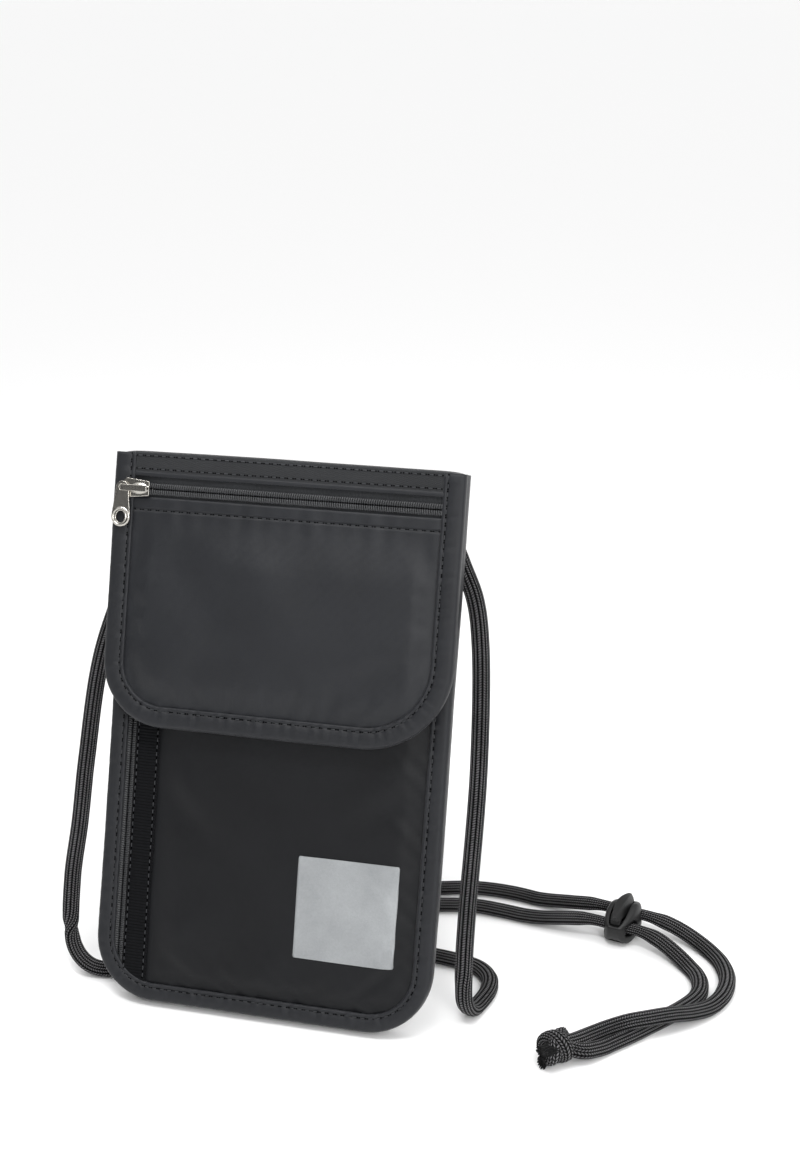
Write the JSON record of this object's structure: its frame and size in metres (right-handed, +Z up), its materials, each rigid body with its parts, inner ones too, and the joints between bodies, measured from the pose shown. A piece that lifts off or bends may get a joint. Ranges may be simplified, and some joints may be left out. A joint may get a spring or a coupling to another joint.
{
  "type": "neck pouch wallet",
  "caption": "Flat fabric neck pouch with a zipped flap, a side-zip front pocket, a reflective label and a braided neck cord with a spring lock and end knot.",
  "frame": {"origin": "on the surface the pouch stands on, under the middle of the leaning pouch, the cord left out", "axes": "+Z up along the leaning pouch's height, +X across its width towards the side with the label, the front faces -Y and leans back 18 degrees"},
  "size_m": [0.2551, 0.1149, 0.203],
  "materials": {
    "shell_fabric": "dark anthracite tight-weave polyester with a soft sheen",
    "lining_fabric": "thin dark grey lining taffeta",
    "ribbon": "ribbed grosgrain ribbon, matt black-grey",
    "hook_and_loop": "black hook and loop pile",
    "zip_tape": "woven polyester zip tape, dark grey",
    "zip_coil": "black nylon coil",
    "zip_metal": "nickel-plated die-cast zinc, lightly worn",
    "cord": "flat tubular polyester braid in two dark greys",
    "reflective": "silver-grey glass-bead reflective fabric",
    "lock_plastic": "satin black acetal",
    "spring_steel": "bright spring wire"
  },
  "bodies": {
    "pouch": {"back_panel": "shell_fabric", "divider_panel": "lining_fabric", "pocket_lining": "lining_fabric", "front_panel": "shell_fabric", "body_binding": "shell_fabric", "front_ribbon": "ribbon", "reflective_label": "reflective", "loop_patch": "hook_and_loop", "top_fold": "shell_fabric", "pocket_zip_tape_left": "zip_tape", "pocket_zip_tape_right": "zip_tape", "pocket_zip_coil_left": "zip_coil", "pocket_zip_coil_right": "zip_coil", "cord_tab_left": "shell_fabric", "cord_tab_right": "shell_fabric", "cord_left": "cord", "cord_left_end": "cord", "cord_right": "cord", "cord_right_end": "cord", "cord_knot": "cord"},
    "flap": {"flap_top_strip": "ribbon", "flap_front_panel": "shell_fabric", "flap_lining": "lining_fabric", "flap_binding": "shell_fabric", "hook_patch": "hook_and_loop", "flap_zip_tape_upper": "zip_tape", "flap_zip_tape_lower": "zip_tape", "flap_zip_coil_upper": "zip_coil", "flap_zip_coil_lower": "zip_coil"},
    "flap_slider": {"flap_zip_slider": "zip_metal"},
    "flap_pull": {"flap_zip_pull": "zip_metal"},
    "pocket_slider": {"pocket_zip_slider": "zip_metal"},
    "pocket_pull": {"pocket_zip_pull": "zip_metal"},
    "cord_lock": {"cord_lock_body": "lock_plastic", "cord_lock_spring": "spring_steel"},
    "lock_plunger": {"cord_lock_plunger": "lock_plastic"}
  },
  "joints": [
    {"name": "flap_hinge", "type": "hinge", "parent": "pouch", "child": "flap", "pos_m": [0, 0.02336, 0.20041], "axis": [-1, 0, 0], "range_deg": [0, 175], "deforming": ["top_fold"]},
    {"name": "flap_slider_slide", "type": "slide", "parent": "flap", "child": "flap_slider", "axis": [1, 0, 0], "range_m": [0, 0.108]},
    {"name": "flap_pull_swing", "type": "hinge", "parent": "flap_slider", "child": "flap_pull", "pos_m": [-0.0619, 0.01233, 0.1899], "axis": [0, -0.9511, 0.309], "range_deg": [-100, 60]},
    {"name": "pocket_slider_slide", "type": "slide", "parent": "pouch", "child": "pocket_slider", "axis": [0, -0.309, -0.9511], "range_m": [0, 0.125]},
    {"name": "pocket_pull_swing", "type": "hinge", "parent": "pocket_slider", "child": "pocket_pull", "pos_m": [-0.0565, 0.00583, 0.14239], "axis": [0, -0.9511, 0.309], "range_deg": [-70, 70]},
    {"name": "cord_lock_slide", "type": "slide", "parent": "pouch", "child": "cord_lock", "axis": [0.9781, -0.2079, 0], "range_m": [-0.005, 0.004]},
    {"name": "lock_plunger_press", "type": "slide", "parent": "cord_lock", "child": "lock_plunger", "axis": [0, 0, -1], "range_m": [0, 0.002], "stiffness_N_per_m": 1500, "springref_m": -0.002, "deforming": ["cord_lock_spring"]}
  ]
}
